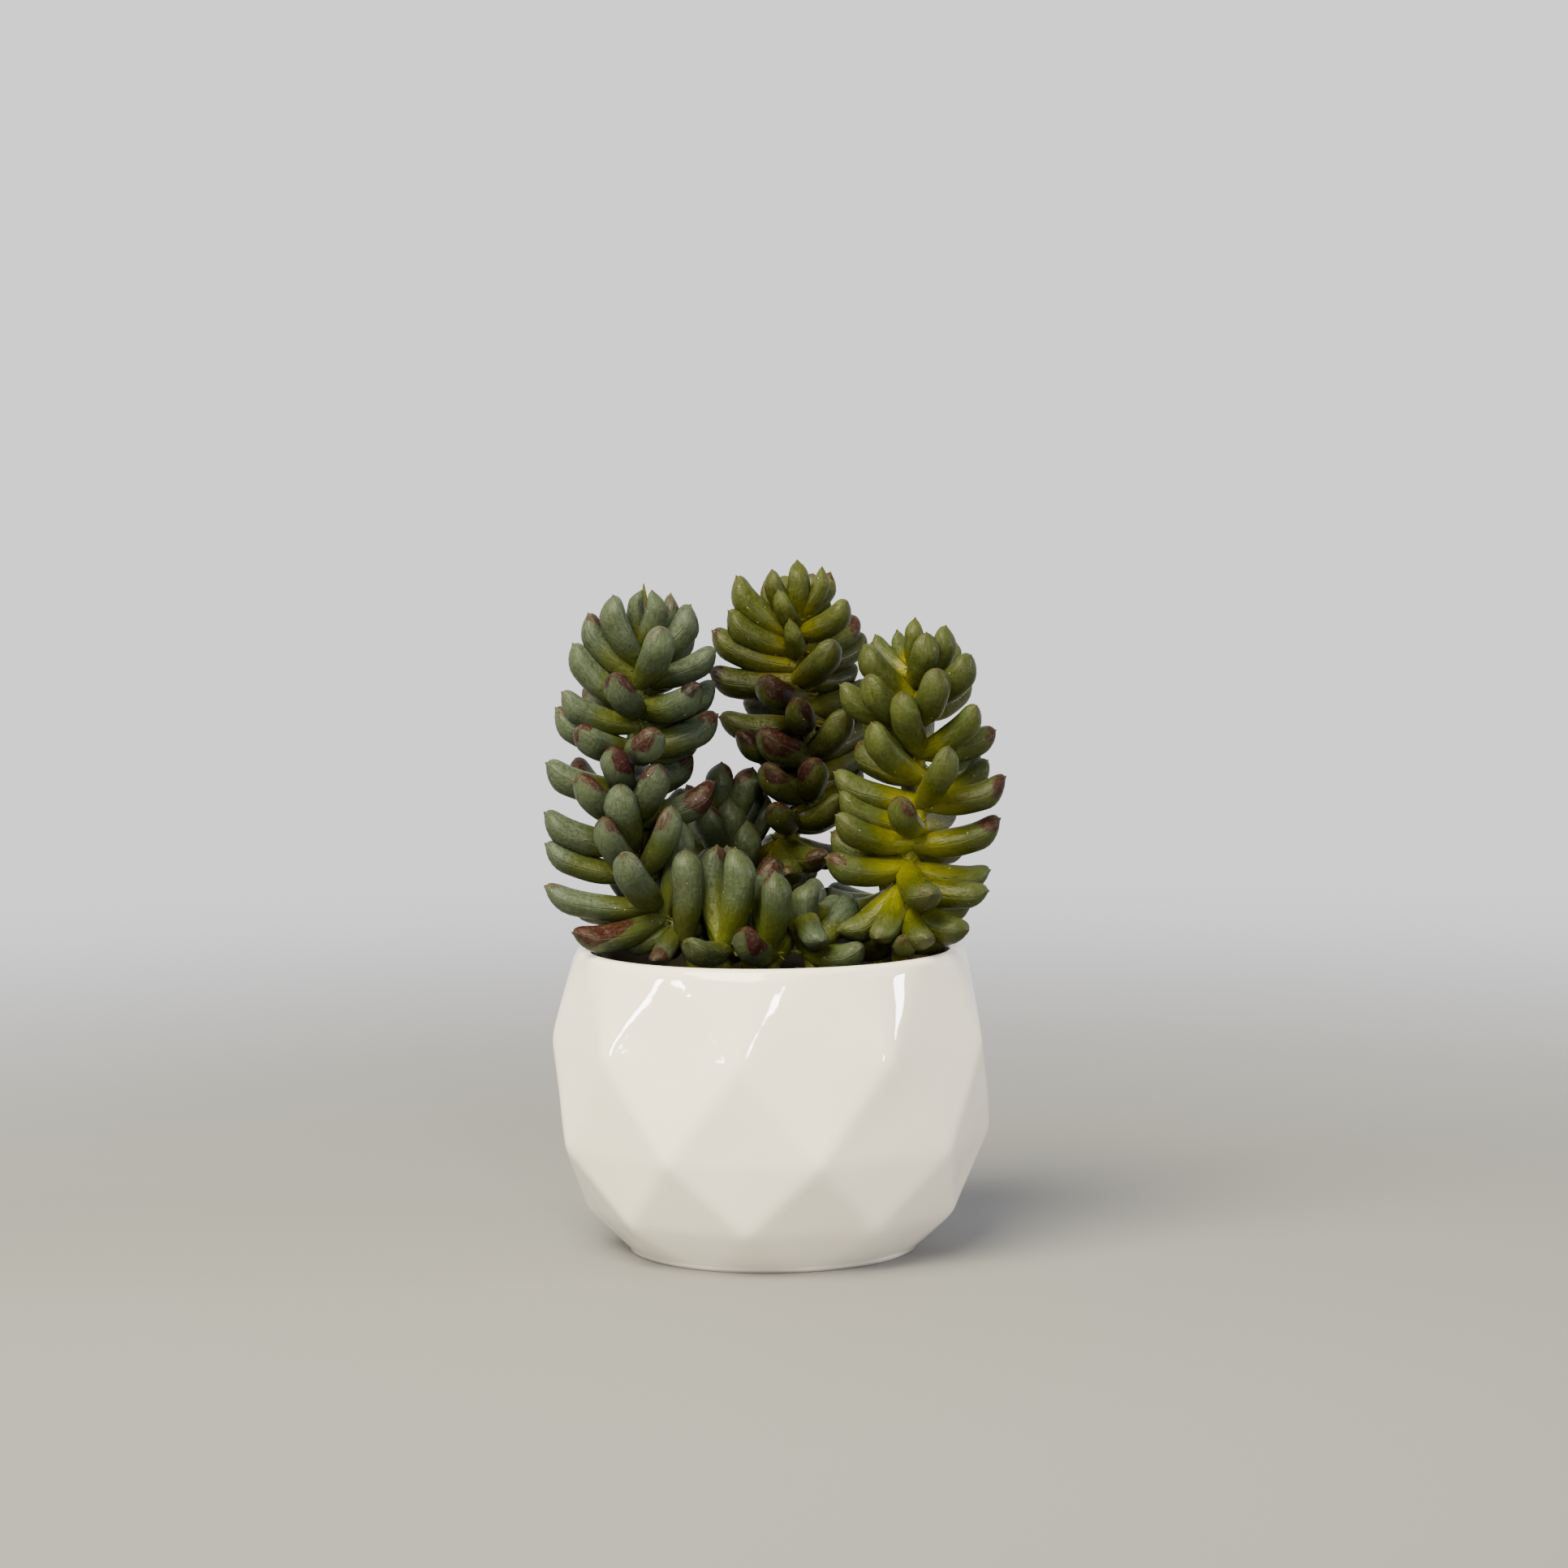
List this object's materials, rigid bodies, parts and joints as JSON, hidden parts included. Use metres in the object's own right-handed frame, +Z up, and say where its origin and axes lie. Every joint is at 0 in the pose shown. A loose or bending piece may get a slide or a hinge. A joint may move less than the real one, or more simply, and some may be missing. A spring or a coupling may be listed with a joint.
{
  "type": "potted sedum",
  "caption": "Small sedum with plump leaves on upright stems, standing in dark grit in a white faceted glazed pot with a flat base.",
  "frame": {"origin": "middle of the pot's flat base, on the surface that the pot stands on", "axes": "+Z up; -Y is the front, the side with the three low shoots; +X to the right seen from the front"},
  "size_m": [0.0834, 0.0789, 0.1242],
  "materials": {
    "pot_glaze": "clear glossy glaze over an off-white body",
    "dark_grit": "fine dark grit, matte",
    "leaf_blue_green": "blue-green bloom over olive, red-brown tips",
    "leaf_olive": "dark olive, red-brown tips",
    "leaf_yellow_green": "yellow-green with a thin grey bloom",
    "leaf_grey_green": "grey-green bloom over olive, red-brown tips"
  },
  "bodies": {
    "root": {"pot": "pot_glaze", "soil": "dark_grit", "stem_left": "leaf_blue_green", "stem_middle": "leaf_olive", "stem_right": "leaf_yellow_green", "stem_back_left": "leaf_grey_green", "stem_back_right": "leaf_grey_green", "shoot_front_left": "leaf_grey_green", "shoot_front": "leaf_grey_green", "shoot_front_right": "leaf_grey_green"}
  },
  "joints": []
}
